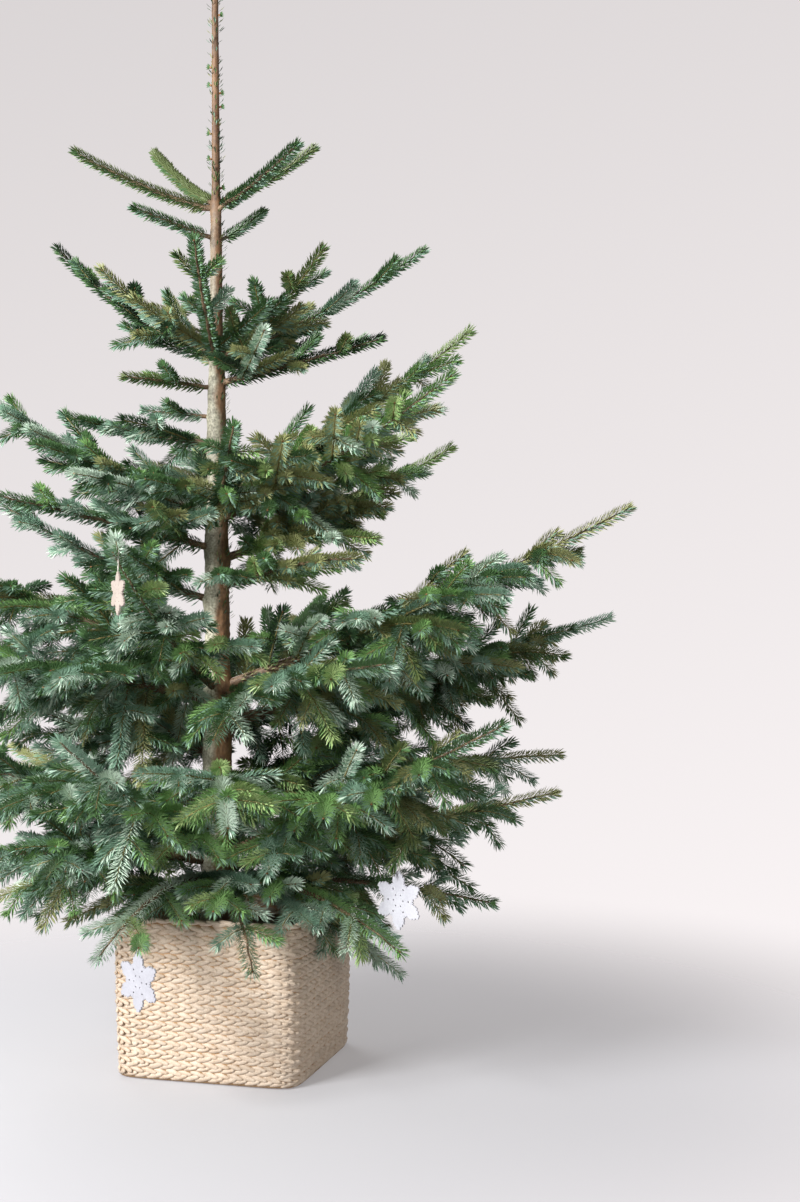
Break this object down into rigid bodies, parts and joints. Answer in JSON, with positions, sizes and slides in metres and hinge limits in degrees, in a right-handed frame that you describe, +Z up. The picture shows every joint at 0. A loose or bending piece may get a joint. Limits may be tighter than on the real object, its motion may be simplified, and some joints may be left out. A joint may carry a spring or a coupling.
{
  "type": "christmas tree",
  "caption": "Young fir grown as a christmas tree with open tiers of boughs, its trunk standing in the filled middle of a square woven basket.",
  "frame": {"origin": "middle of the basket's flat underside", "axes": "+X to the right in the usual view, +Y away from the viewer, +Z up along the trunk"},
  "size_m": [1.6666, 1.2869, 2.395],
  "materials": {
    "trunk_bark": "smooth grey-brown bark",
    "bough_bark": "fine brown bark",
    "needles": "waxy needles",
    "woven_straw": "braided rush",
    "bark_mulch": "loose bark chips"
  },
  "bodies": {
    "root": {"trunk": "trunk_bark", "bough_3_front_right": "bough_bark", "bough_4_right": "bough_bark", "bough_4_back_right": "bough_bark", "bough_4_front_right": "bough_bark", "bough_4_front_left": "bough_bark", "bough_4_left": "bough_bark", "bough_4_far_left": "bough_bark", "bough_5_front_right": "bough_bark", "bough_5_right": "bough_bark", "bough_5_front_left": "bough_bark", "bough_5_far_left": "bough_bark", "foliage_1_left": "needles", "foliage_1_back_left": "needles", "foliage_1_front_right": "needles", "foliage_1_right": "needles", "foliage_1_low_left": "needles", "foliage_1_low_right": "needles", "foliage_2_left": "needles", "foliage_2_right": "needles", "foliage_2_front_right": "needles", "foliage_2_front": "needles", "foliage_2_back_left": "needles", "foliage_2_back_right": "needles", "foliage_2_low_left": "needles", "foliage_2_lowest_left": "needles", "foliage_3_high_left": "needles", "foliage_3_left": "needles", "foliage_3_front_left": "needles", "foliage_3_right": "needles", "foliage_3_front_right": "needles", "foliage_3_front": "needles", "foliage_3_back": "needles", "foliage_3_low_right": "needles", "foliage_3_low_front": "needles", "foliage_3_low_left": "needles", "foliage_4_right": "needles", "foliage_4_back_right": "needles", "foliage_4_front_right": "needles", "foliage_4_front_left": "needles", "foliage_4_left": "needles", "foliage_4_far_left": "needles", "foliage_4_back": "needles", "foliage_4_back_left": "needles", "foliage_5_front_right": "needles", "foliage_5_right": "needles", "foliage_5_front": "needles", "foliage_5_front_left": "needles", "foliage_5_left": "needles", "foliage_5_far_left": "needles", "foliage_5_back_right": "needles", "foliage_5_back": "needles", "foliage_5_back_left": "needles", "foliage_6_front_left": "needles", "foliage_6_front": "needles", "foliage_6_front_right": "needles", "foliage_6_right": "needles", "basket": "woven_straw", "basket_rim": "woven_straw", "bark_fill": "bark_mulch"}
  },
  "joints": []
}
